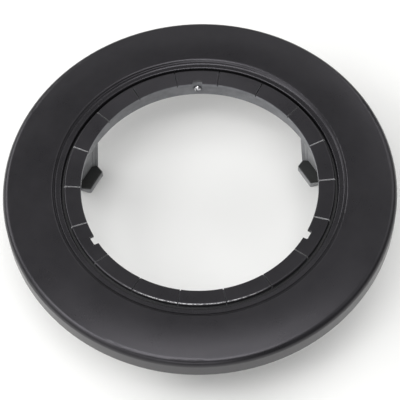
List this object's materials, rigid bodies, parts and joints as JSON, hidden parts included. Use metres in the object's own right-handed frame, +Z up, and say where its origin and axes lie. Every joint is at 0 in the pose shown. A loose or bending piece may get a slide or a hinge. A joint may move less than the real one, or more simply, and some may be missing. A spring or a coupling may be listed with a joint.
{
  "type": "flanged opening trim ring",
  "caption": "Round flanged trim ring with a turning slotted collar and three hanging legs that carry a container below a worktop opening.",
  "frame": {"origin": "on the axis of the ring, at the level of the undersides of its feet", "axes": "+Z up out of the opening, +Y from the axis to the bayonet notch at the back"},
  "size_m": [0.191, 0.191, 0.0527],
  "materials": {
    "flange_coat": "fine satin black powder coat",
    "carrier_coat": "satin black powder coat",
    "collar_coat": "satin black coat over a turned casting",
    "leg_coat": "satin black coat on a cast bracket",
    "pad_rubber": "moulded black rubber",
    "foam": "closed-cell black foam",
    "glide_plastic": "black slippery plastic",
    "screw_steel": "bright zinc-plated steel",
    "rivet_steel": "dull steel"
  },
  "bodies": {
    "frame": {"trim_flange": "flange_coat", "worktop_gasket": "foam", "carrier_ring": "carrier_coat", "glide_ring": "glide_plastic", "leg_left": "leg_coat", "leg_right": "leg_coat", "leg_front": "leg_coat", "foot_pad_left": "pad_rubber", "foot_pad_right": "pad_rubber", "foot_pad_front": "pad_rubber", "flange_screws": "screw_steel", "leg_rivets": "rivet_steel"},
    "collar": {"slotted_collar": "collar_coat", "lock_screws": "screw_steel"}
  },
  "joints": [
    {"name": "collar_turn", "type": "hinge", "parent": "frame", "child": "collar", "pos_m": [0, 0, 0.0489], "axis": [0, 0, 1], "range_deg": [-60, 0]}
  ]
}
